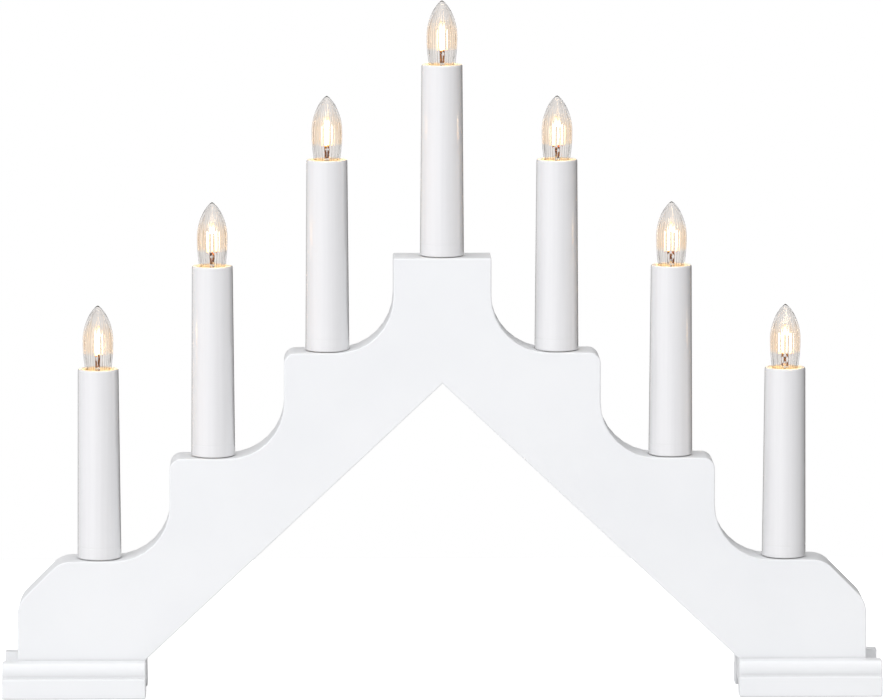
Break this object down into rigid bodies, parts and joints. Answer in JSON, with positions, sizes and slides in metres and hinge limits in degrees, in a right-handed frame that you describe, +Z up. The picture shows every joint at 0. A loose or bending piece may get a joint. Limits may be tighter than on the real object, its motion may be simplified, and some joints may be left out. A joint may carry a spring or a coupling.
{
  "type": "electric candle arch",
  "caption": "Stepped white wooden candle arch on moulded feet, with electric candles: plastic sleeves over screw-in flame-shaped lamps wired in series.",
  "frame": {"origin": "on the table, under the middle of the board", "axes": "+X to the right along the arch, +Y to the back, +Z up; the front faces -Y"},
  "size_m": [0.39, 0.041, 0.3079],
  "materials": {
    "white_paint": "satin white lacquer on fibreboard, softened edges",
    "sleeve_plastic": "glossy moulded white plastic, slightly translucent at the lit rim",
    "holder_plastic": "matt ivory moulded plastic",
    "brass": "pressed brass",
    "lamp_cap_metal": "rolled brass lamp cap",
    "lamp_glass": "clear glass with fine upright flutes",
    "filament_metal": "glowing coiled filament on copper lead wires and a glass stem",
    "wire_sheath": "white insulated wire"
  },
  "bodies": {
    "root": {"arch_board": "white_paint", "front_left_foot_moulding": "white_paint", "rear_left_foot_moulding": "white_paint", "front_right_foot_moulding": "white_paint", "rear_right_foot_moulding": "white_paint", "candle_sleeve_1": "sleeve_plastic", "lamp_holder_1": "holder_plastic", "socket_shell_1": "brass", "candle_sleeve_2": "sleeve_plastic", "lamp_holder_2": "holder_plastic", "socket_shell_2": "brass", "candle_sleeve_3": "sleeve_plastic", "lamp_holder_3": "holder_plastic", "socket_shell_3": "brass", "candle_sleeve_4": "sleeve_plastic", "lamp_holder_4": "holder_plastic", "socket_shell_4": "brass", "candle_sleeve_5": "sleeve_plastic", "lamp_holder_5": "holder_plastic", "socket_shell_5": "brass", "candle_sleeve_6": "sleeve_plastic", "lamp_holder_6": "holder_plastic", "socket_shell_6": "brass", "candle_sleeve_7": "sleeve_plastic", "lamp_holder_7": "holder_plastic", "socket_shell_7": "brass", "jumper_wire_1_3": "wire_sheath", "jumper_wire_3_5": "wire_sheath", "jumper_wire_5_7": "wire_sheath", "jumper_wire_7_6": "wire_sheath", "jumper_wire_6_4": "wire_sheath", "jumper_wire_4_2": "wire_sheath"},
    "contact_1": {"centre_contact_1": "brass"},
    "lamp_1": {"lamp_cap_1": "lamp_cap_metal", "lamp_glass_1": "lamp_glass", "lamp_filament_1": "filament_metal"},
    "contact_2": {"centre_contact_2": "brass"},
    "lamp_2": {"lamp_cap_2": "lamp_cap_metal", "lamp_glass_2": "lamp_glass", "lamp_filament_2": "filament_metal"},
    "contact_3": {"centre_contact_3": "brass"},
    "lamp_3": {"lamp_cap_3": "lamp_cap_metal", "lamp_glass_3": "lamp_glass", "lamp_filament_3": "filament_metal"},
    "contact_4": {"centre_contact_4": "brass"},
    "lamp_4": {"lamp_cap_4": "lamp_cap_metal", "lamp_glass_4": "lamp_glass", "lamp_filament_4": "filament_metal"},
    "contact_5": {"centre_contact_5": "brass"},
    "lamp_5": {"lamp_cap_5": "lamp_cap_metal", "lamp_glass_5": "lamp_glass", "lamp_filament_5": "filament_metal"},
    "contact_6": {"centre_contact_6": "brass"},
    "lamp_6": {"lamp_cap_6": "lamp_cap_metal", "lamp_glass_6": "lamp_glass", "lamp_filament_6": "filament_metal"},
    "contact_7": {"centre_contact_7": "brass"},
    "lamp_7": {"lamp_cap_7": "lamp_cap_metal", "lamp_glass_7": "lamp_glass", "lamp_filament_7": "filament_metal"}
  },
  "joints": [
    {"name": "contact_1_rise", "type": "slide", "parent": "root", "child": "contact_1", "axis": [0, 0, 1], "range_m": [0, 0.00181]},
    {"name": "lamp_1_unscrew", "type": "hinge", "parent": "contact_1", "child": "lamp_1", "pos_m": [-0.1521, 0, 0.13076], "axis": [0, 0, 1], "range_deg": [0, 360]},
    {"name": "contact_2_rise", "type": "slide", "parent": "root", "child": "contact_2", "axis": [0, 0, 1], "range_m": [0, 0.00181]},
    {"name": "lamp_2_unscrew", "type": "hinge", "parent": "contact_2", "child": "lamp_2", "pos_m": [-0.1014, 0, 0.17656], "axis": [0, 0, 1], "range_deg": [0, 360]},
    {"name": "contact_3_rise", "type": "slide", "parent": "root", "child": "contact_3", "axis": [0, 0, 1], "range_m": [0, 0.00181]},
    {"name": "lamp_3_unscrew", "type": "hinge", "parent": "contact_3", "child": "lamp_3", "pos_m": [-0.0507, 0, 0.22356], "axis": [0, 0, 1], "range_deg": [0, 360]},
    {"name": "contact_4_rise", "type": "slide", "parent": "root", "child": "contact_4", "axis": [0, 0, 1], "range_m": [0, 0.00181]},
    {"name": "lamp_4_unscrew", "type": "hinge", "parent": "contact_4", "child": "lamp_4", "pos_m": [0, 0, 0.26556], "axis": [0, 0, 1], "range_deg": [0, 360]},
    {"name": "contact_5_rise", "type": "slide", "parent": "root", "child": "contact_5", "axis": [0, 0, 1], "range_m": [0, 0.00181]},
    {"name": "lamp_5_unscrew", "type": "hinge", "parent": "contact_5", "child": "lamp_5", "pos_m": [0.0507, 0, 0.22356], "axis": [0, 0, 1], "range_deg": [0, 360]},
    {"name": "contact_6_rise", "type": "slide", "parent": "root", "child": "contact_6", "axis": [0, 0, 1], "range_m": [0, 0.00181]},
    {"name": "lamp_6_unscrew", "type": "hinge", "parent": "contact_6", "child": "lamp_6", "pos_m": [0.1014, 0, 0.17656], "axis": [0, 0, 1], "range_deg": [0, 360]},
    {"name": "contact_7_rise", "type": "slide", "parent": "root", "child": "contact_7", "axis": [0, 0, 1], "range_m": [0, 0.00181]},
    {"name": "lamp_7_unscrew", "type": "hinge", "parent": "contact_7", "child": "lamp_7", "pos_m": [0.1521, 0, 0.13076], "axis": [0, 0, 1], "range_deg": [0, 360]}
  ],
  "couplings": [
    {"joint": "contact_1_rise", "follows": "lamp_1_unscrew", "m_per_rad": 0.00028871},
    {"joint": "contact_2_rise", "follows": "lamp_2_unscrew", "m_per_rad": 0.00028871},
    {"joint": "contact_3_rise", "follows": "lamp_3_unscrew", "m_per_rad": 0.00028871},
    {"joint": "contact_4_rise", "follows": "lamp_4_unscrew", "m_per_rad": 0.00028871},
    {"joint": "contact_5_rise", "follows": "lamp_5_unscrew", "m_per_rad": 0.00028871},
    {"joint": "contact_6_rise", "follows": "lamp_6_unscrew", "m_per_rad": 0.00028871},
    {"joint": "contact_7_rise", "follows": "lamp_7_unscrew", "m_per_rad": 0.00028871}
  ]
}
